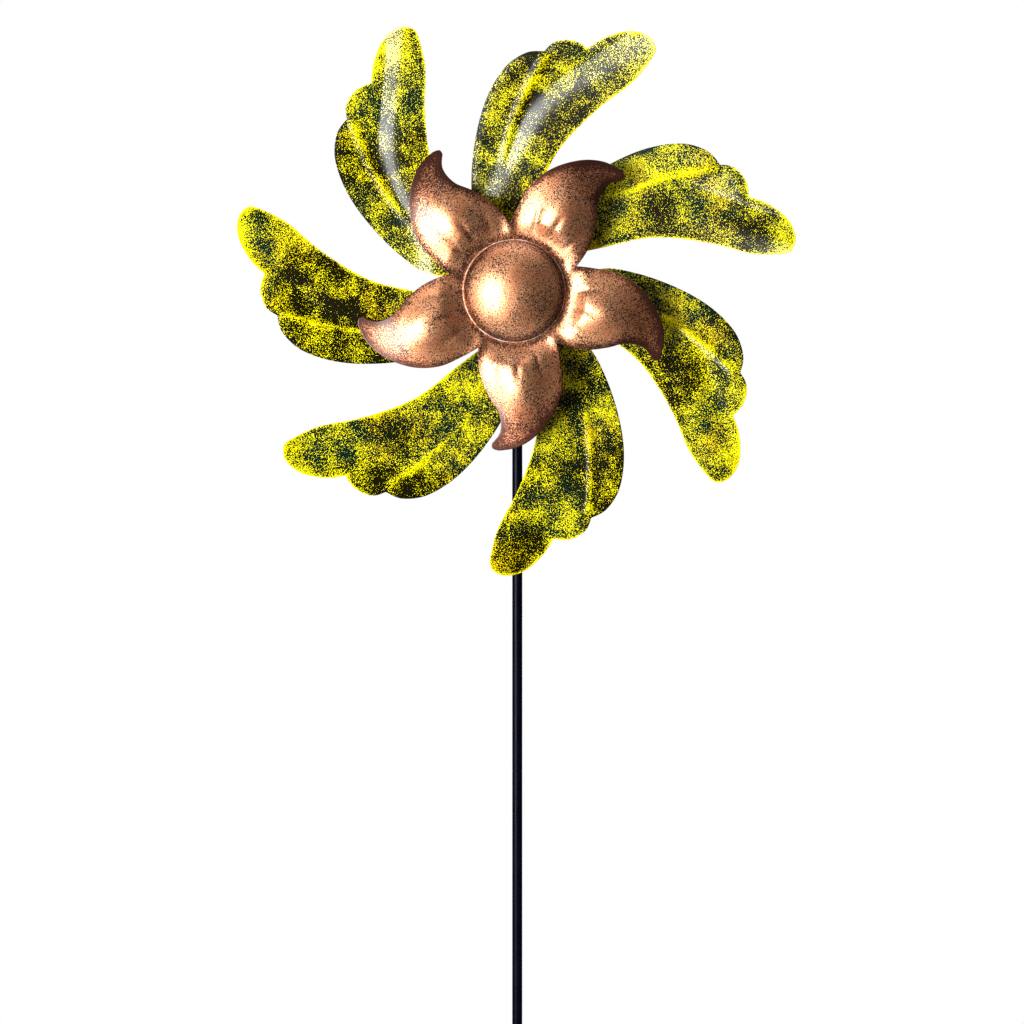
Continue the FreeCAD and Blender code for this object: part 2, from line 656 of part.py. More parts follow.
def flower_height(u, v):
    """How far the stamping stands in front of its flat middle."""
    radius = math.hypot(u, v)
    turn = math.degrees(math.atan2(v, u)) - (90.0 + FLOWER_PHASE + PETAL_AXIS)
    off_axis = (turn + PETAL_STEP / 2) % PETAL_STEP - PETAL_STEP / 2
    along = (radius - PETAL_BULGE_R) / PETAL_BULGE_LONG
    across = radius * math.radians(off_axis) / PETAL_BULGE_WIDE
    bulge = PETAL_BULGE * math.exp(-along ** 2 - across ** 2) * smooth_step(radius, 57.0, 80.0)
    pitch = PETAL_PITCH * smooth_step(radius, 78.0, 128.0) * radius * math.sin(math.radians(off_axis))
    from_saddle = PETAL_STEP / 2 - abs(off_axis)
    saddle = PETAL_SADDLE * math.exp(-(from_saddle / 4.5) ** 2) * smooth_step(radius, 57.0, 66.0)
    return bulge + pitch + saddle - petal_folds(radius, off_axis)


def rivet_places(radius):
    return [(FLOWER_PHASE + PETAL_STEP * index, radius) for index in range(PETALS)]


def flower_stamping():
    extent = 180.0
    blank = stamped_sheet(flower_outline(), flower_height, (-extent, extent, -extent, extent), (3.6, 3.6),
                          FLOWER_SEAT_Y - SLIP, FLOWER_T)
    blank = blank.cut(on_axle(HUB_R + 0.1, FLOWER_SEAT_Y + 5, FLOWER_SEAT_Y - 10))
    for radius in (FLOWER_RIVET_R, RING_RIVET_R):
        blank = drilled(blank, rivet_places(radius), RIVET_HOLE_R, FLOWER_SEAT_Y)
    return blank.Solids[0]


def flower_hub():
    hub = wheel_hub(FLOWER_HUB_Y, FLOWER_FLANGE_R, FLOWER_SEAT_Y + FLANGE_T, FLOWER_SEAT_Y)
    return drilled(hub, rivet_places(FLOWER_RIVET_R), RIVET_HOLE_R, FLOWER_SEAT_Y)


def flower_rivets():
    """Five through the hub's flange and five that hold the cap's ring."""
    rivets = []
    for angle, radius in rivet_places(FLOWER_RIVET_R):
        rivets.append(rivet(angle, radius, FLOWER_SEAT_Y + FLANGE_T, CAP_SEAT_Y))
    for angle, radius in rivet_places(RING_RIVET_R):
        rivets.append(rivet(angle, radius, FLOWER_SEAT_Y, CAP_SEAT_Y - 1.0))
    return Part.makeCompound(rivets)


def cap_ring():
    """Angle-section ring on the flower; the cap's skirt snaps over its upright wall."""
    base_y = CAP_SEAT_Y
    wall_y = base_y - CAP_RING_WALL
    ring = turned_on_axle([(CAP_RING_BORE_R, base_y), (CAP_RING_R, base_y), (CAP_RING_R, wall_y),
                           (CAP_RING_R - 1, wall_y), (CAP_RING_R - 1, base_y - 1),
                           (CAP_RING_BORE_R, base_y - 1)])
    return drilled(ring, rivet_places(RING_RIVET_R), RIVET_HOLE_R, base_y)


def hub_cap():
    """Shallow dome with a short skirt and a rolled bead that lies on the flower."""
    def on_profile(radius, y):
        return Vector(radius, y, AXLE_Z)

    def dome_edge(apex_y, end_r, end_y):
        """Arc from the apex, centred on the axle line."""
        rise = end_y - apex_y
        dome_r = (end_r ** 2 + rise ** 2) / (2 * rise)
        half_angle = math.asin(end_r / dome_r) / 2
        middle = on_profile(dome_r * math.sin(half_angle), apex_y + dome_r * (1 - math.cos(half_angle)))
        return Part.Arc(on_profile(0, apex_y), middle, on_profile(end_r, end_y)).toShape()

    skirt_r = CAP_RING_R + SLIP
    outer_r = skirt_r + CAP_T
    rim_y = CAP_SEAT_Y - SLIP
    shoulder_y = CAP_APEX_Y + CAP_RISE
    edges = [
        dome_edge(CAP_APEX_Y, outer_r - 1.0, shoulder_y - 1.0),
        Part.Arc(on_profile(outer_r - 1.0, shoulder_y - 1.0), on_profile(outer_r - 0.2, shoulder_y),
                 on_profile(outer_r, shoulder_y + 1.2)).toShape(),
        Part.makeLine(on_profile(outer_r, shoulder_y + 1.2), on_profile(outer_r, rim_y - 2 * CAP_BEAD_R)),
        Part.Arc(on_profile(outer_r, rim_y - 2 * CAP_BEAD_R),
                 on_profile(outer_r + CAP_BEAD_R, rim_y - CAP_BEAD_R), on_profile(outer_r, rim_y)).toShape(),
        Part.makeLine(on_profile(outer_r, rim_y), on_profile(skirt_r, rim_y)),
        Part.makeLine(on_profile(skirt_r, rim_y), on_profile(skirt_r, shoulder_y + 0.8)),
        dome_edge(CAP_APEX_Y + CAP_T, skirt_r, shoulder_y + 0.8),
        Part.makeLine(on_profile(0, CAP_APEX_Y + CAP_T), on_profile(0, CAP_APEX_Y)),
    ]
    return Part.Face(Part.Wire(edges)).revolve(HUB_CENTRE, BACKWARD, 360)


# ---------------------------------------------------------------------------- the assembly

def stake():
    lower = pole_section(0.0, LOWER_JOINT_Z)
    fork = ground_fork()
    return {
        "ground_spike": ground_spike(),
        "ground_fork": fork,
        "fork_welds": fork_welds(lower, fork),
        "lower_pole": lower,
        "middle_pole": pole_section(LOWER_JOINT_Z, UPPER_JOINT_Z),
        "upper_pole": pole_section(UPPER_JOINT_Z, POLE_TOP_Z - 2.0),
        "lower_coupling": coupling(LOWER_JOINT_Z),
        "upper_coupling": coupling(UPPER_JOINT_Z),
        "pole_top_plug": pole_top_plug(),
    }


def head():
    washer_bore = AXLE_R + 0.2
    rear_seat = HEAD_SLEEVE_HALF + WASHER_T
    jam_y = -HEAD_SLEEVE_HALF - WASHER_T
    flower_front_y = FLOWER_HUB_Y - HUB_LEN
    lock_y = flower_front_y - WASHER_T
    spacer_bore = AXLE_R + 0.05
    return {
        "axle_head": axle_head(),
        "clamp_screw": clamp_screw(),
        "axle": axle(),
        "rear_washer": ring_on_axle(WASHER_R, washer_bore, rear_seat, HEAD_SLEEVE_HALF),
        "rear_cap_nut": cap_nut(rear_seat + 14.0, rear_seat),
        "front_washer": ring_on_axle(WASHER_R, washer_bore, -HEAD_SLEEVE_HALF, jam_y),
        "axle_jam_nut": nut_on_axle(jam_y),
        "rear_spacer": ring_on_axle(SPACER_R, spacer_bore, jam_y - NUT_T, LEAF_HUB_Y),
        "leaf_bearing_inner_rings": inner_rings(LEAF_HUB_Y),
        "leaf_inner_spacer": ring_on_axle(SPACER_R, spacer_bore, LEAF_HUB_Y - BEARING_W,
                                          LEAF_HUB_Y - HUB_LEN + BEARING_W),
        "wheel_spacer": ring_on_axle(SPACER_R, spacer_bore, LEAF_HUB_Y - HUB_LEN, FLOWER_HUB_Y),
        "flower_bearing_inner_rings": inner_rings(FLOWER_HUB_Y),
        "flower_inner_spacer": ring_on_axle(SPACER_R, spacer_bore, FLOWER_HUB_Y - BEARING_W,
                                            flower_front_y + BEARING_W),
        "end_washer": ring_on_axle(SPACER_R, washer_bore, flower_front_y, lock_y),
        "lock_nut": lock_nut(lock_y),
        "lock_nut_insert": lock_nut_insert(lock_y),
    }


def leaf_wheel():
    screws, washers, nuts = leaf_fasteners()
    nodes = {
        "leaf_hub": leaf_hub(),
        "leaf_plate": leaf_plate(),
        "plate_rivets": plate_rivets(),
        "leaf_screws": screws,
        "leaf_washers": washers,
        "leaf_nuts": nuts,
        "leaf_bearing_outer_rings": outer_rings(LEAF_HUB_Y),
        "leaf_bearing_balls": bearing_balls(LEAF_HUB_Y),
        "leaf_bearing_cages": bearing_cages(LEAF_HUB_Y),
        "leaf_bearing_shields": bearing_shields(LEAF_HUB_Y),
    }
    blank = leaf_blank()
    for number, turn in enumerate(leaf_turns(), start=1):
        nodes["leaf_%d" % number] = turned_copy(blank, turn)
    return nodes


def flower_wheel():
    return {
        "flower_hub": flower_hub(),
        "flower": flower_stamping(),
        "flower_rivets": flower_rivets(),
        "cap_ring": cap_ring(),
        "hub_cap": hub_cap(),
        "flower_bearing_outer_rings": outer_rings(FLOWER_HUB_Y),
        "flower_bearing_balls": bearing_balls(FLOWER_HUB_Y),
        "flower_bearing_cages": bearing_cages(FLOWER_HUB_Y),
        "flower_bearing_shields": bearing_shields(FLOWER_HUB_Y),
    }


os.makedirs("parts", exist_ok=True)
for nodes in (stake(), head(), leaf_wheel(), flower_wheel()):
    for name, shape in nodes.items():
        save(name, shape)
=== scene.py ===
"""Wind spinner, the visible model: enamelled leaves, copper flower and black stake.

Metres, +Z up, and the spinner faces -Y.  Shapes below are drawn in millimetres in the plane of a
wheel, with (u, v) to the right and up for someone who looks at its face, and are placed by MM.
"""
import json
import math

import bmesh
import bpy
import numpy as np
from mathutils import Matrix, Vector
from mathutils.geometry import delaunay_2d_cdt


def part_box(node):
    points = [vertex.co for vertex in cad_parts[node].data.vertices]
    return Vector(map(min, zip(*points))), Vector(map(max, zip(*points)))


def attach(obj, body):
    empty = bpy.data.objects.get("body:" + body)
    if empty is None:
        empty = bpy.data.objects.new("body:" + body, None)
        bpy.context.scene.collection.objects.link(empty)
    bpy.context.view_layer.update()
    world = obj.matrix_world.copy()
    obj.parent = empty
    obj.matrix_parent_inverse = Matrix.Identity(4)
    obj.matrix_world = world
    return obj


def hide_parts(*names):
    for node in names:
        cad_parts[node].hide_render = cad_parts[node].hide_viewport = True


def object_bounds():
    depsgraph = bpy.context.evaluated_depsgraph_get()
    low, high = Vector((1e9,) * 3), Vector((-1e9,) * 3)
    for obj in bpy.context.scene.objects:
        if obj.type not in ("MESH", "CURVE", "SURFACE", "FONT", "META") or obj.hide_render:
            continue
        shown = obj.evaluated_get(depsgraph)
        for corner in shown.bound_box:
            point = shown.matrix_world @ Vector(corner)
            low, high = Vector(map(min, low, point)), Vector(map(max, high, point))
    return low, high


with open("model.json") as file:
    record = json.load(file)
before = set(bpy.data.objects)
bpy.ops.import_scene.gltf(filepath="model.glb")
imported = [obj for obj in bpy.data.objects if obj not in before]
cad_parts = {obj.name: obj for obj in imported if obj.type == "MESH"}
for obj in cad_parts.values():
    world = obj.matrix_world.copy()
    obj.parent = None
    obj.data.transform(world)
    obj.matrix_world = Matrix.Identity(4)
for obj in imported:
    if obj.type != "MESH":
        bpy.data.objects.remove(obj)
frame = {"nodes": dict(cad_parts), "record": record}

CAD_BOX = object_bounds()

# ---------------------------------------------------------------------------- dimensions

MM = 0.001
SLIP = 0.02                     # gap between parts that lie on each other
RIM_INSET = 0.12                # keeps sheet rims just inside the faceted CAD shapes
RIM_LEANS = (55.0, 0.0, -55.0)  # where the points of a rounded rim stand, degrees from its middle

# Leaf, in mm, with its tip straight up
LEAVES = 7
LEAF_T = 0.8
LEAF_PHASE = 24.0               # turn of the first leaf from straight up, degrees
LEAF_ROOT_ANGLE = 128.0         # direction of the root tab when the leaf's tip is straight up
LEAF_TAB_HALF = 13.0
LEAF_SCREW_R = (38.0, 51.0)     # distance of each leaf's two screws from the axle
LEAF_HOLE_R = 2.1
LEAF_PITCH = 0.07               # slope across the blade; its inner edge stands forward
LEAF_STEP = 5.2                 # height gained over the steep band in the blade's middle
LEAF_VEIN = 2.0                 # height of the raised vein
LEAF_VALLEY = 0.8               # depth of the trough between the vein and the band
LEAF_ROLL = 0.8                 # how far the outer rim is rolled back
LEAF_DISH = 40.0                # how far the tips stand in front of the roots

# Flower, in mm, with the first petal's tip straight up
PETALS = 5
PETAL_STEP = 360.0 / PETALS
FLOWER_T = 0.8
FLOWER_PHASE = 28.0             # turn of the first petal from straight up, degrees
PETAL_AXIS = 12.0               # the petal's middle line leans this far back from its tip, degrees
PETAL_BULGE = 13.5              # height of the round swell of each petal
PETAL_BULGE_R = 96.0            # its distance from the axle
PETAL_BULGE_LONG = 40.0         # its spread along the petal
PETAL_BULGE_WIDE = 31.0         # its spread across the petal
PETAL_PITCH = 0.06              # slope across the outer half of a petal
PETAL_FOLDS = ((-18.0, 0.8), (-1.5, 1.3), (14.0, 1.2))  # angle and depth of the gathers by the cap
PETAL_SADDLE = 1.8              # height of the small rise between two petals
HUB_NOSE = 8.0                  # how far the hub stands out in front of its flange
FLOWER_BORE_R = 14.1
FLOWER_RIVET_R = 23.0
RING_RIVET_R = 42.0
RIVET_HOLE_R = 1.6

# Cap, in mm
CAP_T = 0.8
CAP_BEAD_R = 1.15               # radius of the rolled bead's own section
CAP_RISE = 19.0                 # from the apex back to the shoulder above the skirt
CAP_SEGMENTS = 160

# Painted shade and painted highlight on the cap, in mm from its axis
CAP_SHADE_R = (44.0, 52.5)       # painted shade: the dome darkens outward between these
CAP_BEAD_HIGHLIGHT_R = (53.5, 54.2)     # painted shade turns to the bead's painted highlight between these

# Mesh spacing in mm, along a sheet's rim and inside it
LEAF_SPACING = (1.6, 2.6)
FLOWER_SPACING = (1.5, 2.0)
SUPPORT_GAP = 0.9               # a ring of points this far inside the rim keeps its triangles even

# Places read from the frame
AXLE_LOW, AXLE_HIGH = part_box("axle")
AXLE_Z = (AXLE_LOW.z + AXLE_HIGH.z) / 2
LEAF_REAR_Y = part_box("leaf_plate")[0].y - SLIP * MM
FLOWER_REAR_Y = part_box("flower_hub")[0].y + (HUB_NOSE - SLIP) * MM
CAP_LOW, CAP_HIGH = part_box("hub_cap")
GROUND_Z = CAD_BOX[0].z


# ---------------------------------------------------------------------------- outlines

def smooth_step(value, low, high):
    """0 below low, 1 above high, and a smooth climb between them."""
    t = min(max((value - low) / (high - low), 0.0), 1.0)
    return t * t * (3.0 - 2.0 * t)


def smooth_run(points, spacing):
    """Evenly spread points along a smooth curve through the given ones."""
    knots = [Vector(point) for point in points]
    lengths = [(b - a).length for a, b in zip(knots, knots[1:])]
    slopes = []
    for index in range(1, len(knots) - 1):
        slopes.append((knots[index + 1] - knots[index - 1]) / (lengths[index - 1] + lengths[index]))
    first = (knots[1] - knots[0]) / lengths[0] * 1.5 - slopes[0] * 0.5
    last = (knots[-1] - knots[-2]) / lengths[-1] * 1.5 - slopes[-1] * 0.5
    slopes = [first] + slopes + [last]
    run = []
    for index, length in enumerate(lengths):
        steps = max(2, round(length / spacing))
        for step in range(steps):
            t = step / steps
            run.append(knots[index] * (2 * t ** 3 - 3 * t ** 2 + 1)
                       + slopes[index] * length * (t ** 3 - 2 * t ** 2 + t)
                       + knots[index + 1] * (3 * t ** 2 - 2 * t ** 3)
                       + slopes[index + 1] * length * (t ** 3 - t ** 2))
    return run


def circle(centre, radius, count):
    """Points round a circle in the wheel's plane."""
    points = []
    for index in range(count):
        angle = 2 * math.pi * index / count
        u = centre[0] + radius * math.cos(angle)
        v = centre[1] + radius * math.sin(angle)
        points.append(Vector((u, v)))
    return points


def turned(point, angle_deg):
    """A point of the wheel's plane, turned from right towards up."""
    angle = math.radians(angle_deg)
    return (point[0] * math.cos(angle) - point[1] * math.sin(angle),
            point[0] * math.sin(angle) + point[1] * math.cos(angle))


def root_point(distance, side):
    """A point of the leaf's root tab: distance out from the axle and side across the tab."""
    angle = math.radians(LEAF_ROOT_ANGLE)
    out_u, out_v = math.cos(angle), math.sin(angle)
    return (distance * out_u + side * out_v, distance * out_v - side * out_u)


def leaf_outline(spacing):
    """Root tab, full outer edge with two lobes and a tip, and a hollow inner edge."""
    inner = LEAF_SCREW_R[0]
    tab_end = LEAF_SCREW_R[1] + 9.0
    tab_left = root_point(tab_end, -LEAF_TAB_HALF)
    tab_right = root_point(tab_end, LEAF_TAB_HALF)
    lobe_one = (-89, 239)
    lobe_two = (-49.5, 262.5)
    tip_right = (17, 285.5)
    tab_arc = []
    for degrees in range(0, 181, 30):
        angle = math.radians(degrees)
        tab_arc.append(root_point(inner - LEAF_TAB_HALF * math.sin(angle), LEAF_TAB_HALF * math.cos(angle)))
    runs = [
        tab_arc,
        [root_point(inner, -LEAF_TAB_HALF), root_point(inner + 11, -LEAF_TAB_HALF), tab_left],
        [tab_left, (-78, 55), (-97, 84), (-113.5, 126.5), (-121.5, 168), (-118.5, 205.5), (-105.5, 229),
         lobe_one],
        [lobe_one, (-83, 253), (-67, 262.5), lobe_two],
        [lobe_two, (-37.5, 281.5), (-18, 298), (2, 302), (15, 295), tip_right],
        [tip_right, (10, 253), (-7, 218), (-21, 180.5), (-28, 147), (-27, 99), tab_right],
        [tab_right, root_point(inner + 11, LEAF_TAB_HALF), root_point(inner, LEAF_TAB_HALF)],
    ]
    return [point for run in runs for point in smooth_run(run, spacing)]


def flower_outline(spacing):
    """Five flame-shaped petals cut from one sheet."""
    notch = (29.5, 65.0)
    tip_left = (-8, 170)
    tip_right = (1, 163)
    outline = []
    for petal in range(PETALS):
        turn = FLOWER_PHASE + PETAL_STEP * petal
        start = turned(notch, PETAL_STEP)
        runs = [
            [notch, (27, 82), (21, 99), (10, 116), (-2, 131), (-6, 149), tip_right],
            [tip_right, (0, 168.5), tip_left],
            [tip_left, (-28, 163), (-46, 147), (-61, 120), (-65, 92), (-59, 66), start],
        ]
        for run in runs:
            outline += smooth_run([turned(point, turn) for point in run], spacing)
    return outline


# ---------------------------------------------------------------------------- relief

def band_line(v):
    """Middle of the steep band that runs up the leaf and out to its tip."""
    bend = 12.0 * math.log(1.0 + math.exp((v - 185.0) / 12.0))
    return -70.0 + 0.6 * bend


def leaf_vein(u, v):
    """1 on the raised vein that runs up to the first notch, 0 away from it."""
    line = -87.0 + 0.0016 * (v - 200.0) ** 2
    half_width = 2.8 + 1.4 * smooth_step(v, 120.0, 200.0)
    shape = math.exp(-((u - line) / half_width) ** 2) * smooth_step(v, 100.0, 150.0)
    return shape * (1.0 - smooth_step(v, 226.0, 241.0))


def leaf_height(u, v, gap):
    """How far the leaf stands in front of its root tab; gap is the distance to its edge."""
    radius = math.hypot(u, v)
    past_band = u - band_line(v)
    pitch = LEAF_PITCH * (u + 76.0)
    step = LEAF_STEP / 2 * math.tanh(past_band / 12.0)
    valley = LEAF_VALLEY * math.exp(-((past_band + 13.0) / 6.0) ** 2) * smooth_step(v, 180.0, 215.0)
    roll = LEAF_ROLL * math.exp(-(gap / 5.0) ** 2) * smooth_step(-past_band, 0.0, 16.0)
    dish = LEAF_DISH * (max(radius - 64.0, 0.0) / 245.0) ** 2
    pressed = smooth_step(radius, 64.0, 112.0)
    return pressed * (pitch + step + LEAF_VEIN * leaf_vein(u, v) - valley - roll) + dish


def petal_angle(u, v):
    """Angle from the middle line of the nearest petal, in degrees."""
    turn = math.degrees(math.atan2(v, u)) - (90.0 + FLOWER_PHASE + PETAL_AXIS)
    return (turn + PETAL_STEP / 2) % PETAL_STEP - PETAL_STEP / 2


def petal_folds(radius, off_axis):
    """Depth of the short gathers where a petal meets the cap."""
    zone = smooth_step(radius, 62.0, 76.0) * (1.0 - smooth_step(radius, 78.0, 104.0))
    depth = 0.0
    for angle, amount in PETAL_FOLDS:
        depth += amount * math.exp(-((off_axis - angle) / 2.4) ** 2)
    return zone * depth


def flower_height(u, v, _gap):
    """How far the stamping stands in front of its flat middle."""
    radius = math.hypot(u, v)
    off_axis = petal_angle(u, v)
    along = (radius - PETAL_BULGE_R) / PETAL_BULGE_LONG
    across = radius * math.radians(off_axis) / PETAL_BULGE_WIDE
    bulge = PETAL_BULGE * math.exp(-along ** 2 - across ** 2) * smooth_step(radius, 57.0, 80.0)
    pitch = PETAL_PITCH * smooth_step(radius, 78.0, 128.0) * radius * math.sin(math.radians(off_axis))
    from_saddle = PETAL_STEP / 2 - abs(off_axis)
    saddle = PETAL_SADDLE * math.exp(-(from_saddle / 4.5) ** 2) * smooth_step(radius, 57.0, 66.0)
    return bulge + pitch + saddle - petal_folds(radius, off_axis)


# ---------------------------------------------------------------------------- sheet-metal meshes

def as_rows(points):
    """Points as the rows of an array."""
    return np.array([tuple(point) for point in points])


def inward_normals(loop):
    """Unit normals that point into a loop drawn clockwise or anticlockwise."""
    ahead = np.roll(loop, -1, axis=0)
    behind = np.roll(loop, 1, axis=0)
    area = np.sum(loop[:, 0] * ahead[:, 1] - ahead[:, 0] * loop[:, 1])
    along = ahead - behind
    normals = np.stack([-along[:, 1], along[:, 0]], axis=1) * np.sign(area)
    return normals / np.linalg.norm(normals, axis=1, keepdims=True)


def inside(points, loop):
    """Which points lie inside a closed loop."""
    result = np.zeros(len(points), bool)
    x, y = points[:, 0], points[:, 1]
    for (ax, ay), (bx, by) in zip(loop, np.roll(loop, -1, axis=0)):
        if ay == by:
            continue
        crosses = (ay > y) != (by > y)
        result ^= crosses & (x < (bx - ax) * (y - ay) / (by - ay) + ax)
    return result


def nearest_distance(points, targets):
    """Distance from each point to the nearest target, worked out in blocks to save memory."""
    block_size = 2000
    result = np.empty(len(points))
    for start in range(0, len(points), block_size):
        block = points[start:start + block_size]
        gaps = block[:, None, :] - targets[None, :, :]
        result[start:start + block_size] = np.sqrt((gaps ** 2).sum(axis=2).min(axis=1))
    return result


def hexagonal_grid(low, high, spacing):
    """Evenly spread points that fill a box."""
    points = []
    row_gap = spacing * math.sqrt(3) / 2
    for row in range(int((high[1] - low[1]) / row_gap) + 1):
        offset = spacing / 2 if row % 2 else 0.0
        for column in range(int((high[0] - low[0]) / spacing) + 1):
            points.append((low[0] + offset + column * spacing, low[1] + row * row_gap))
    return np.array(points)


def flat_mesh(outline, holes, edge_r, spacing):
    """Triangles that fill an outline less its holes.

    Returns the points, the triangles, and the loops of point numbers along the outer rim and
    along each hole.
    """
    rim = outline + inward_normals(outline) * edge_r
    support = outline + inward_normals(outline) * (edge_r + SUPPORT_GAP)
    clear_of_rim = spacing * 0.55
    clear_of_hole = spacing * 0.45
    grid = hexagonal_grid(outline.min(0), outline.max(0), spacing)
    grid = grid[inside(grid, support)]
    grid = grid[nearest_distance(grid, support) > clear_of_rim]
    for hole in holes:
        grid = grid[~inside(grid, hole)]
        grid = grid[nearest_distance(grid, hole) > clear_of_hole]
    loops, points, edges = [], [], []
    for loop in [rim, support] + list(holes):
        numbers = list(range(len(points), len(points) + len(loop)))
        loops.append(numbers)
        points += [Vector(point) for point in loop]
        edges += list(zip(numbers, numbers[1:] + numbers[:1]))
    points += [Vector(point) for point in grid]
    made, _, faces, origins, _, _ = delaunay_2d_cdt(points, edges, [], 1, 1e-5)
    number_of = {}
    for new, old in enumerate(origins):
        for number in old:
            number_of[number] = new
    flat = as_rows(made)
    triangles = np.array(faces)
    for hole in holes:
        centres = flat[triangles].mean(axis=1)
        triangles = triangles[~inside(centres, hole)]
    loops = [[number_of[number] for number in loop] for loop in loops]
    return flat, triangles, [loops[0]] + loops[2:]


def skin_faces(flat, triangles):
    """Front and rear faces of a sheet, whose front points are numbered after its rear ones."""
    count = len(flat)
    first, second, third = flat[triangles[0]]
    front_first = np.cross(second - first, third - first) > 0
    faces = []
    for a, b, c in triangles.tolist():
        front = (a + count, b + count, c + count)
        rear = (c, b, a)
        faces += [front, rear] if front_first else [front[::-1], rear[::-1]]
    return faces


def ring_faces(upper, lower):
    """Faces between two rings with the same number of points."""
    faces = []
    for index in range(len(upper)):
        following = (index + 1) % len(upper)
        faces.append((upper[index], lower[index], lower[following], upper[following]))
    return faces


def rim_faces(points, loop, flat, forward, thickness, rounded):
    """Close a sheet along one loop, full-round or straight, adding the points it needs to points."""
    edge_r = thickness / 2
    outward = -inward_normals(flat[loop])
    rings = [[number + len(flat) for number in loop]]
    for lean in RIM_LEANS:
        reach = edge_r * math.cos(math.radians(lean)) if rounded else 0.0
        drop = edge_r * math.sin(math.radians(lean))
        rings.append(list(range(len(points), len(points) + len(loop))))
        for number, direction in zip(loop, outward):
            u, v = flat[number] + direction * reach
            points.append((u, -forward[number] - edge_r - drop, v))
    rings.append(loop)
    faces = []
    for upper, lower in zip(rings, rings[1:]):
        faces += ring_faces(upper, lower)
    return faces


def placed_on_axle(local, rear_y, turn):
    """Local points (u, y, v) in mm, turned about the axle and set at rear_y, in metres."""
    angle = math.radians(turn)
    cos_a, sin_a = math.cos(angle), math.sin(angle)
    across = local[:, 0] * cos_a - local[:, 2] * sin_a
    up = local[:, 0] * sin_a + local[:, 2] * cos_a
    return np.stack([across, local[:, 1], up], axis=1) * MM + np.array([0.0, rear_y, AXLE_Z])


def sheet_piece(name, outline, holes, thickness, height, marks, spacing, rear_y, turn):
    """A pressed sheet with full-round edges, turned about the axle and set at rear_y.

    height and the rules in marks take a point's u and v and its distance to the outline.
    """
    outline = as_rows(outline)
    outline = outline + inward_normals(outline) * RIM_INSET
    holes = [as_rows(hole) for hole in holes]
    flat, triangles, loops = flat_mesh(outline, holes, thickness / 2, spacing)
    edge = nearest_distance(flat, outline)
    forward = np.array([height(u, v, gap) for (u, v), gap in zip(flat, edge)])
    rear = [(u, -h, v) for (u, v), h in zip(flat, forward)]
    front = [(u, -h - thickness, v) for (u, v), h in zip(flat, forward)]
    points = rear + front
    faces = skin_faces(flat, triangles)
    for loop in loops:
        faces += rim_faces(points, loop, flat, forward, thickness, rounded=loop is loops[0])
    local = np.array(points)
    edge = nearest_distance(local[:, [0, 2]], outline)
    values = {}
    for mark, rule in marks.items():
        values[mark] = [rule(u, v, gap) for (u, _, v), gap in zip(local, edge)]
    return new_piece(name, placed_on_axle(local, rear_y, turn).tolist(), faces, values)


def new_piece(name, points, faces, marks):
    """A smooth-shaded piece in the scene, with named values at its points for its paint."""
    mesh = bpy.data.meshes.new(name)
    mesh.from_pydata(points, [], faces)
    for mark, values in marks.items():
        attribute = mesh.attributes.new(mark, "FLOAT", "POINT")
        attribute.data.foreach_set("value", values)
    close_and_smooth(mesh)
    piece = bpy.data.objects.new(name, mesh)
    bpy.context.scene.collection.objects.link(piece)
    return piece


def close_and_smooth(mesh):
    """Face normals outward and smooth shading."""
    work = bmesh.new()
    work.from_mesh(mesh)
    bmesh.ops.recalc_face_normals(work, faces=work.faces)
    work.to_mesh(mesh)
    work.free()
    mesh.shade_smooth()
    mesh.update()


# ---------------------------------------------------------------------------- material nodes

class Nodes:
    """Short ways to add shader nodes; inputs are numbers, colours or other nodes' sockets."""

    def __init__(self, owner):
        """Start afresh in a material or a world."""
        owner.use_nodes = True
        self.owner = owner
        self.tree = owner.node_tree
        self.tree.nodes.clear()

    def feed(self, socket, value):
        """Link another node's output to a socket, or set the socket to a plain value."""
        if isinstance(value, bpy.types.NodeSocket):
            self.tree.links.new(value, socket)
        else:
            socket.default_value = value

    def add(self, kind, inputs, output=0, **settings):
        """Add a node and return one of its outputs."""
        made = self.tree.nodes.new(kind)
        for key, value in settings.items():
            setattr(made, key, value)
        for key, value in inputs.items():
            self.feed(made.inputs[key], value)
        return made.outputs[output]

    def place(self):
        """Place on the piece, in metres."""
        return self.add("ShaderNodeTexCoord", {}, "Object")

    def mark(self, name):
        """A value stored at the mesh's points."""
        return self.add("ShaderNodeAttribute", {}, "Fac", attribute_name=name)

    def noise(self, where, scale, detail=2.0, roughness=0.5, distortion=0.0):
        inputs = {"Vector": where, "Scale": scale, "Detail": detail, "Roughness": roughness,
                  "Distortion": distortion}
        return self.add("ShaderNodeTexNoise", inputs, "Fac")

    def math(self, operation, first, second):
        return self.add("ShaderNodeMath", {0: first, 1: second}, operation=operation)

    def remap(self, value, low, high, to_low=0.0, to_high=1.0):
        """Straight-line change of range, held at both ends."""
        inputs = {"Value": value, "From Min": low, "From Max": high, "To Min": to_low, "To Max": to_high}
        return self.add("ShaderNodeMapRange", inputs)

    def mix(self, share, first, second):
        made = self.tree.nodes.new("ShaderNodeMix")
        made.data_type = "RGBA"
        self.feed(made.inputs[0], share)
        self.feed(made.inputs[6], first)
        self.feed(made.inputs[7], second)
        return made.outputs[2]

    def bump(self, height, distance, strength):
        return self.add("ShaderNodeBump", {"Height": height, "Distance": distance, "Strength": strength})

    def finish(self, **inputs):
        """End in a Principled shader with the given inputs, and return the material."""
        shader = self.tree.nodes.new("ShaderNodeBsdfPrincipled")
        for key, value in inputs.items():
            self.feed(shader.inputs[key.replace("_", " ")], value)
        return self.end("ShaderNodeOutputMaterial", shader.outputs[0])

    def end(self, kind, surface):
        output = self.tree.nodes.new(kind)
        self.tree.links.new(surface, output.inputs["Surface"])
        return self.owner


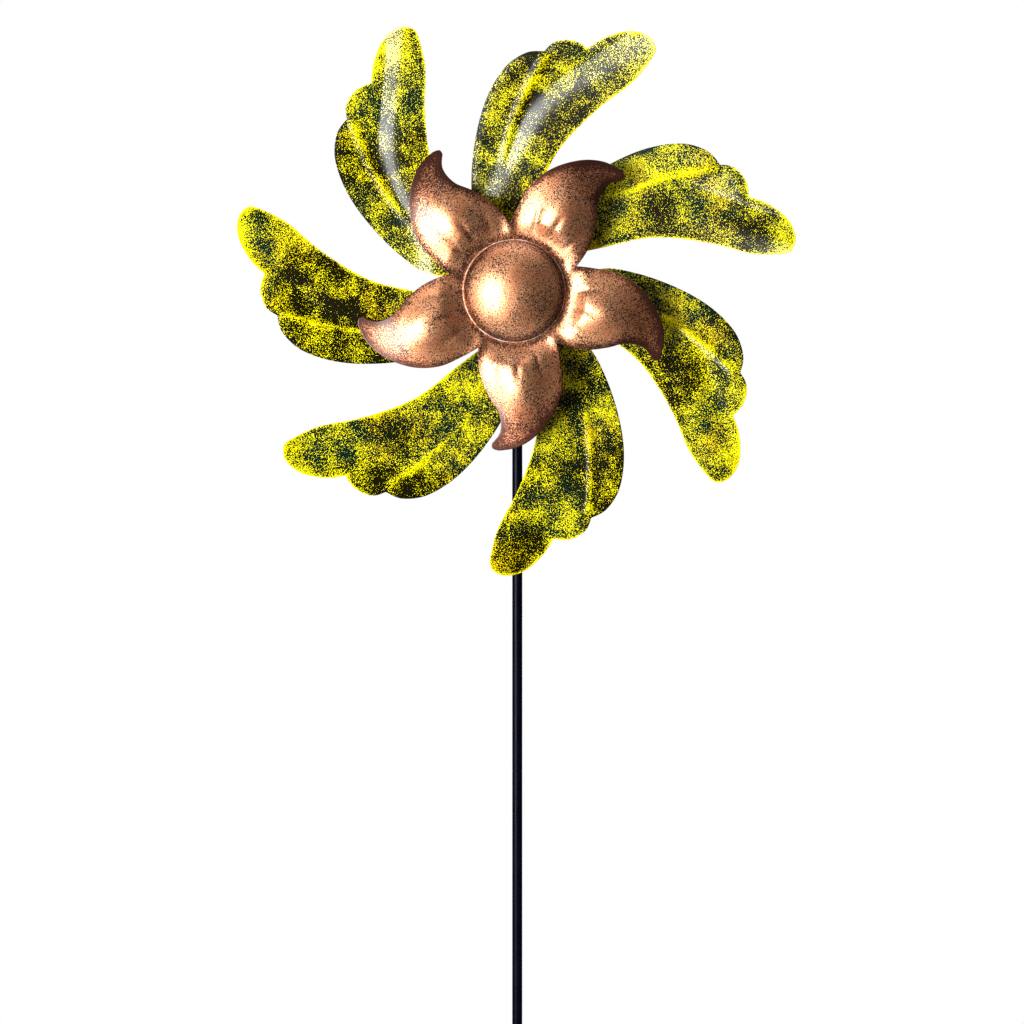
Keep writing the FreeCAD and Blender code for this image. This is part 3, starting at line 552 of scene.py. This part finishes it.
def leaf_enamel():
    """Near-black green gloss under a fine yellow spatter, denser on the vein, inner rims and tips, and
    thinned along the outer rims as painted shade.
    """
    black = (0.006, 0.005, 0.0, 1)
    teal = (0.003, 0.015, 0.010, 1)
    lemon = (0.92, 0.84, 0.0, 1)
    amber = (0.90, 0.70, 0.0, 1)
    nodes = Nodes(bpy.data.materials.new("leaf_enamel"))
    where = nodes.place()
    grain = nodes.noise(where, 880.0, 1.0, 0.55)
    patches = nodes.noise(where, 44.0, 2.0, 0.5, 0.3)
    drift = nodes.noise(where, 12.0, 1.0)
    dense = nodes.remap(patches, 0.32, 0.68, -0.14, 0.035)
    level = nodes.math("ADD", grain, dense)
    level = nodes.math("ADD", level, nodes.remap(drift, 0.3, 0.7, -0.03, 0.03))
    # the paint mark adds spatter, and takes spatter away along the outer rims as painted shade
    level = nodes.math("ADD", level, nodes.mark("paint"))
    spatter = nodes.remap(level, 0.531, 0.547)
    dark = nodes.mix(nodes.remap(drift, 0.45, 0.62), black, teal)
    warmth = nodes.remap(nodes.noise(where, 17.0, 1.0), 0.5, 0.68)
    yellow = nodes.mix(warmth, lemon, amber)
    colour = nodes.mix(spatter, dark, yellow)
    rough = nodes.remap(spatter, 0.0, 1.0, 0.3, 0.5)
    gloss = nodes.math("MULTIPLY", nodes.remap(spatter, 0.0, 1.0, 0.24, 0.95), nodes.mark("polish"))
    gloss = nodes.math("MINIMUM", gloss, 1.0)
    raised = nodes.math("ADD", nodes.math("MULTIPLY", spatter, 0.5), nodes.math("MULTIPLY", grain, 0.5))
    return nodes.finish(Base_Color=colour, Roughness=rough, Specular_IOR_Level=0.05, Coat_Weight=gloss,
                        Coat_Roughness=0.18, Normal=nodes.bump(raised, 0.00012, 0.3))


def copper_enamel():
    """Copper-coloured metallic paint with fine dark speckle, darkened by patina and painted shade at edges,
    tips and beside the cap and towards the dome's rim, with a painted highlight along the cap's bead."""
    copper = (0.74, 0.29, 0.135, 1)
    pale_copper = (0.95, 0.47, 0.24, 1)
    patina_and_shade_copper = (0.24, 0.065, 0.022, 1)
    speck = (0.045, 0.012, 0.006, 1)
    bead_highlight_white = (0.96, 0.92, 0.86, 1)
    nodes = Nodes(bpy.data.materials.new("copper_enamel"))
    where = nodes.place()
    # patina, painted shade and the bead's painted highlight, stored at the points
    mark = nodes.mark("patina_shade_and_highlight")
    grain = nodes.noise(where, 920.0, 1.0, 0.6)
    cloud = nodes.noise(where, 42.0, 3.0, 0.55)
    level = nodes.math("ADD", grain, nodes.remap(cloud, 0.35, 0.65, -0.05, 0.05))
    level = nodes.math("ADD", level, mark)
    speckle = nodes.remap(level, 0.50, 0.53)
    light = nodes.mix(nodes.remap(cloud, 0.35, 0.65), copper, pale_copper)
    # patina and painted shade turn the copper dark brown
    patina_and_shade_share = nodes.remap(nodes.math("ADD", mark, nodes.remap(cloud, 0.3, 0.7, -0.02, 0.02)), -0.02, 0.16)
    light = nodes.mix(patina_and_shade_share, light, patina_and_shade_copper)
    colour = nodes.mix(speckle, light, speck)
    # painted highlight along the cap's bead, broken into dashes
    highlight_breaks = nodes.noise(where, 340.0, 1.0)
    bead_highlight = nodes.math("MULTIPLY", nodes.remap(mark, -0.2, -0.3), nodes.remap(highlight_breaks, 0.47, 0.52))
    colour = nodes.mix(bead_highlight, colour, bead_highlight_white)
    metal = nodes.remap(bead_highlight, 0.0, 1.0, 0.95, 0.0)
    rough = nodes.remap(speckle, 0.0, 1.0, 0.39, 0.46)
    gloss = nodes.remap(speckle, 0.0, 1.0, 0.15, 0.6)
    bump = nodes.bump(nodes.math("ADD", grain, speckle), 0.00012, 0.2)
    return nodes.finish(Base_Color=colour, Metallic=metal, Roughness=rough, Coat_Weight=gloss,
                        Coat_Roughness=0.25, Normal=bump)


def black_enamel():
    """Black gloss paint on tube and rod, with a little orange peel."""
    nodes = Nodes(bpy.data.materials.new("black_enamel"))
    where = nodes.place()
    peel = nodes.noise(where, 380.0, 3.0)
    wear = nodes.noise(where, 40.0, 4.0, 0.6)
    colour = nodes.mix(nodes.remap(wear, 0.35, 0.7), (0.001, 0.001, 0.005, 1), (0.002, 0.002, 0.008, 1))
    rough = nodes.remap(wear, 0.3, 0.7, 0.26, 0.38)
    return nodes.finish(Base_Color=colour, Roughness=rough, Specular_IOR_Level=0.06,
                        Normal=nodes.bump(peel, 0.0001, 0.25))


def steel(name, colour, roughness, stretch):
    """Plated or ground steel with fine turning marks."""
    nodes = Nodes(bpy.data.materials.new(name))
    where = nodes.add("ShaderNodeMapping", {"Vector": nodes.place(), "Scale": stretch})
    marks = nodes.noise(where, 900.0, 3.0, 0.6)
    tone = nodes.noise(nodes.place(), 90.0, 2.0)
    shade = tuple(channel * 0.8 for channel in colour) + (1,)
    base = nodes.mix(nodes.remap(tone, 0.35, 0.65), colour + (1,), shade)
    rough = nodes.remap(marks, 0.3, 0.7, roughness - 0.07, roughness + 0.09)
    return nodes.finish(Base_Color=base, Metallic=1.0, Roughness=rough,
                        Normal=nodes.bump(marks, 0.00005, 0.3))


def nylon():
    """Off-white moulded nylon with a dull grain."""
    nodes = Nodes(bpy.data.materials.new("nylon"))
    grain = nodes.noise(nodes.place(), 700.0, 2.0)
    colour = nodes.mix(grain, (0.78, 0.78, 0.72, 1), (0.86, 0.86, 0.82, 1))
    return nodes.finish(Base_Color=colour, Roughness=nodes.remap(grain, 0.3, 0.7, 0.42, 0.55))


# ---------------------------------------------------------------------------- pieces

def leaf_paint(u, v, gap):
    """Extra spatter: on the vein, along the inner rim and towards the tip; less in the hollow, and less
    along the outer rim as painted shade of its rolled-back edge.
    """
    past_band = u - band_line(v)
    rim_zone = max(smooth_step(past_band, -30.0, 0.0), smooth_step(v, 240.0, 262.0))
    rim = 0.26 * math.exp(-(gap / 1.3) ** 2) * rim_zone
    # painted shade: fewer yellow dots along the outer rim, standing in for its rolled-back edge lying in
    # shadow
    shade = 0.07 * math.exp(-(gap / 1.6) ** 2) * (1.0 - rim_zone)
    tip = 0.07 * smooth_step(v, 262.0, 300.0)
    hollow = 0.02 * math.exp(-(past_band / 12.0) ** 2) * smooth_step(v, 90.0, 130.0)
    hollow *= 1.0 - smooth_step(v, 225.0, 265.0)
    return rim + tip + 0.12 * leaf_vein(u, v) - hollow - shade


def leaf_polish(u, v, _gap):
    """Strength of the gloss: most along the lower band, less on the tip, little on the vein."""
    past_band = u - band_line(v)
    band = math.exp(-((past_band + 3.0) / 14.0) ** 2) * smooth_step(v, 90.0, 130.0)
    band *= 1.0 - smooth_step(v, 200.0, 240.0)
    tip = smooth_step(v, 225.0, 260.0)
    return (1.0 + 0.9 * band - 0.35 * tip) * (1.0 - 0.95 * leaf_vein(u, v) ** 0.3)


def make_leaves(material):
    """Seven identical leaves round the axle."""
    rim_spacing, grid_spacing = LEAF_SPACING
    outline = leaf_outline(rim_spacing)
    holes = [circle(root_point(distance, 0.0), LEAF_HOLE_R, 20) for distance in LEAF_SCREW_R]
    for number in range(1, LEAVES + 1):
        turn = LEAF_PHASE - 360.0 / LEAVES * (number - 1)
        leaf = sheet_piece("leaf_sheet_%d" % number, outline, holes, LEAF_T, leaf_height,
                           {"paint": leaf_paint, "polish": leaf_polish}, grid_spacing, LEAF_REAR_Y, turn)
        leaf.data.materials.append(material)
        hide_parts("leaf_%d" % number)
        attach(leaf, "leaf_wheel")


def petal_patina_and_shade(u, v, gap):
    """Darker along petal edges, towards tips, in the gathers and in the ring beside the cap: partly dark
    patina, partly painted shade.
    """
    radius = math.hypot(u, v)
    edge = 0.13 * math.exp(-(gap / 6.0) ** 2)
    tip = 0.11 * smooth_step(radius, 106.0, 150.0)
    # painted shade in the ring beside the cap
    ring = 0.14 * math.exp(-((radius - 57.0) / 4.5) ** 2)
    folds = 0.04 * petal_folds(radius, petal_angle(u, v))
    return edge + tip + ring + folds - 0.03


def make_flower(material):
    """The one-piece stamping of five petals."""
    rim_spacing, grid_spacing = FLOWER_SPACING
    rivets = []
    for index in range(PETALS):
        angle = FLOWER_PHASE + PETAL_STEP * index
        for radius in (FLOWER_RIVET_R, RING_RIVET_R):
            rivets.append(circle(turned((radius, 0.0), angle), RIVET_HOLE_R, 14))
    holes = [circle((0.0, 0.0), FLOWER_BORE_R, 60)] + rivets
    flower = sheet_piece("petal_stamping", flower_outline(rim_spacing), holes, FLOWER_T, flower_height,
                         {"patina_shade_and_highlight": petal_patina_and_shade}, grid_spacing, FLOWER_REAR_Y, 0.0)
    flower.data.materials.append(material)
    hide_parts("flower")
    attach(flower, "flower_wheel")


def dome_arc(end_r, end_y, apex_y, steps):
    """(radius, y) along a round dome, from its apex to where it ends."""
    height = end_y - apex_y
    dome_r = (end_r ** 2 + height ** 2) / (2 * height)
    widest = math.asin(end_r / dome_r)
    arc = []
    for step in range(steps + 1):
        angle = widest * step / steps
        arc.append((dome_r * math.sin(angle), apex_y + dome_r * (1 - math.cos(angle))))
    return arc


def cap_profile():
    """(radius, y) in mm along the cap's section, from the outer apex round to the inner one.

    y is measured from the cap's rim and is negative towards the apex.
    """
    depth = (CAP_HIGH.y - CAP_LOW.y) / MM
    outer_r = (CAP_HIGH.x - CAP_LOW.x) / MM / 2 - CAP_BEAD_R
    inner_r = outer_r - CAP_T
    shoulder = -depth + CAP_RISE
    inner_shoulder = shoulder + CAP_T
    outside = dome_arc(outer_r - 1.0, shoulder - 1.0, -depth, 44)
    outside += [(outer_r - 0.5, shoulder - 0.45), (outer_r - 0.2, shoulder),
                (outer_r - 0.03, shoulder + 0.6), (outer_r, -2 * CAP_BEAD_R - 0.3)]
    bead = []
    for degrees in range(0, 181, 20):
        angle = math.radians(degrees)
        bead.append((outer_r + CAP_BEAD_R * math.sin(angle), -CAP_BEAD_R - CAP_BEAD_R * math.cos(angle)))
    inner_wall = [(inner_r, -SLIP), (inner_r, inner_shoulder)]
    inner_dome = dome_arc(inner_r, inner_shoulder, -depth + CAP_T, 30)
    return outside + bead + inner_wall + inner_dome[::-1][1:]


def make_cap(material):
    """The domed cap, turned about the axle."""
    points, rings = [], []
    for radius, y in cap_profile():
        if radius < 1e-6:
            rings.append([len(points)])
            points.append((0.0, CAP_HIGH.y + y * MM, AXLE_Z))
            continue
        rings.append(list(range(len(points), len(points) + CAP_SEGMENTS)))
        for index in range(CAP_SEGMENTS):
            angle = 2 * math.pi * index / CAP_SEGMENTS
            points.append((radius * MM * math.cos(angle), CAP_HIGH.y + y * MM,
                           AXLE_Z + radius * MM * math.sin(angle)))
    faces = []
    for first, second in zip(rings, rings[1:]):
        if len(first) == 1:
            first = first * CAP_SEGMENTS
        if len(second) == 1:
            second = second * CAP_SEGMENTS
        faces += [tuple(dict.fromkeys(face)) for face in ring_faces(first, second)]
    patina_shade_and_highlight = []
    for x, _, z in points:
        radius = math.hypot(x, z - AXLE_Z) / MM
        # painted shade darkening the dome towards its rim
        dark = 0.10 * smooth_step(radius, *CAP_SHADE_R)
        # painted highlight along the bead
        bead_highlight = 0.4 * smooth_step(radius, *CAP_BEAD_HIGHLIGHT_R)
        patina_shade_and_highlight.append(dark - 0.02 - bead_highlight)
    cap = new_piece("cap_dome", points, faces, {"patina_shade_and_highlight": patina_shade_and_highlight})
    cap.data.materials.append(material)
    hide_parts("hub_cap")
    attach(cap, "flower_wheel")


def dress_frame(finishes):
    """Give every CAD node the material of its slot."""
    for part in frame["record"]["subparts"]:
        node = frame["nodes"][part["node"]]
        if not node.material_slots:
            node.data.materials.append(None)
        for slot in node.material_slots:
            slot.material = finishes[part["material_slot"]]


# ---------------------------------------------------------------------------- studio

def floor():
    """Pale round floor that fades into the white surround."""
    fade_from, fade_to = 0.5, 2.2
    reach = 2.4
    sides = 96
    nodes = Nodes(bpy.data.materials.new("studio_floor"))
    where = nodes.place()
    apart = nodes.add("ShaderNodeVectorMath", {0: where}, "Value", operation="LENGTH")
    fade = nodes.remap(apart, fade_from, fade_to)
    grain = nodes.noise(where, 30.0, 3.0)
    colour = nodes.mix(grain, (0.86, 0.86, 0.86, 1), (0.89, 0.89, 0.89, 1))
    paint = nodes.add("ShaderNodeBsdfDiffuse", {"Color": colour})
    clear = nodes.add("ShaderNodeBsdfTransparent", {})
    surface = nodes.add("ShaderNodeMixShader", {0: fade, 1: paint, 2: clear})
    turns = [2 * math.pi * index / sides for index in range(sides)]
    rim = [(reach * math.cos(turn), reach * math.sin(turn), 0.0) for turn in turns]
    mesh = bpy.data.meshes.new("studio_floor")
    mesh.from_pydata(rim, [], [tuple(range(sides))])
    mesh.materials.append(nodes.end("ShaderNodeOutputMaterial", surface))
    disc = bpy.data.objects.new("studio_floor", mesh)
    disc.location = (0.0, 0.0, GROUND_Z)
    bpy.context.scene.collection.objects.link(disc)


def softbox(name, direction, distance, width, height, radiance):
    """An oval light that faces the hub from a direction; radiance is its brightness seen from there."""
    hub = Vector((0.0, FLOWER_REAR_Y, AXLE_Z))
    lamp = bpy.data.lights.new(name, "AREA")
    lamp.shape = "ELLIPSE"
    lamp.size = width
    lamp.size_y = height
    oval_area = math.pi / 4 * width * height
    lamp.energy = radiance * math.pi * oval_area
    holder = bpy.data.objects.new(name, lamp)
    way = Vector(direction).normalized()
    holder.location = hub + way * distance
    holder.rotation_mode = "QUATERNION"
    holder.rotation_quaternion = way.to_track_quat("Z", "Y")
    bpy.context.scene.collection.objects.link(holder)


def surround():
    """White to look at, and a dim graded room for light and reflections."""
    world = bpy.data.worlds.new("studio")
    bpy.context.scene.world = world
    nodes = Nodes(world)
    where = nodes.add("ShaderNodeTexCoord", {}, "Generated")
    bright_side = (-0.45, -0.35, 0.55)
    tilt = nodes.add("ShaderNodeVectorMath", {0: where, 1: bright_side}, "Value", operation="DOT_PRODUCT")
    room = nodes.add("ShaderNodeBackground", {"Strength": nodes.remap(tilt, -0.7, 0.8, 0.02, 0.16)})
    white = nodes.add("ShaderNodeBackground", {"Color": (1, 1, 1, 1), "Strength": 1.0})
    seen = nodes.add("ShaderNodeLightPath", {}, "Is Camera Ray")
    surface = nodes.add("ShaderNodeMixShader", {0: seen, 1: room, 2: white})
    nodes.end("ShaderNodeOutputWorld", surface)


def camera():
    """Level with the hub, a little to its right, tilted down so that the pole runs out of frame."""
    distance = 3.6
    azimuth = math.radians(2.4)
    frame_width = 1.0957            # width in view at the hub's distance
    aim_down = 0.2365
    aim_left = 0.0036
    sensor = 36.0
    between_wheels_y = -0.05
    hub = Vector((0.0, between_wheels_y, AXLE_Z))
    back = Vector((math.sin(azimuth), -math.cos(azimuth), 0.0))
    right = Vector((math.cos(azimuth), math.sin(azimuth), 0.0))
    data = bpy.data.cameras.new("camera")
    data.sensor_width = sensor
    data.lens = sensor * distance / frame_width
    holder = bpy.data.objects.new("camera", data)
    holder.location = hub + back * distance
    target = hub - right * aim_left - Vector((0, 0, aim_down))
    holder.rotation_mode = "QUATERNION"
    holder.rotation_quaternion = (target - holder.location).to_track_quat("-Z", "Y")
    bpy.context.scene.collection.objects.link(holder)
    bpy.context.scene.camera = holder


def lights():
    """A strong key from the viewer's left, and weak fills above, to the right and behind."""
    softbox("key_left", (-0.545, -0.777, -0.09), 2.2, 1.0, 1.75, 21.5)
    softbox("top_soft", (-0.2, -0.8, 0.62), 2.4, 1.2, 0.7, 1.2)
    softbox("right_fill", (0.9, -0.6, 0.2), 2.8, 0.6, 1.2, 0.4)
    softbox("overhead", (0.0, 0.2, 1.0), 2.0, 3.6, 3.6, 2.2)
    softbox("back_fill", (0.35, 1.0, 0.35), 2.6, 1.6, 1.6, 2.5)


camera()
lights()
surround()
floor()
bpy.context.scene.view_settings.view_transform = "Standard"

finishes = {
    "leaf_enamel": leaf_enamel(),
    "copper_enamel": copper_enamel(),
    "black_enamel": black_enamel(),
    "zinc_steel": steel("zinc_steel", (0.62, 0.62, 0.60), 0.34, (1.0, 1.0, 1.0)),
    "bearing_steel": steel("bearing_steel", (0.56, 0.57, 0.58), 0.22, (1.0, 6.0, 1.0)),
    "nylon": nylon(),
}
dress_frame(finishes)
make_leaves(finishes["leaf_enamel"])
make_flower(finishes["copper_enamel"])
make_cap(finishes["copper_enamel"])
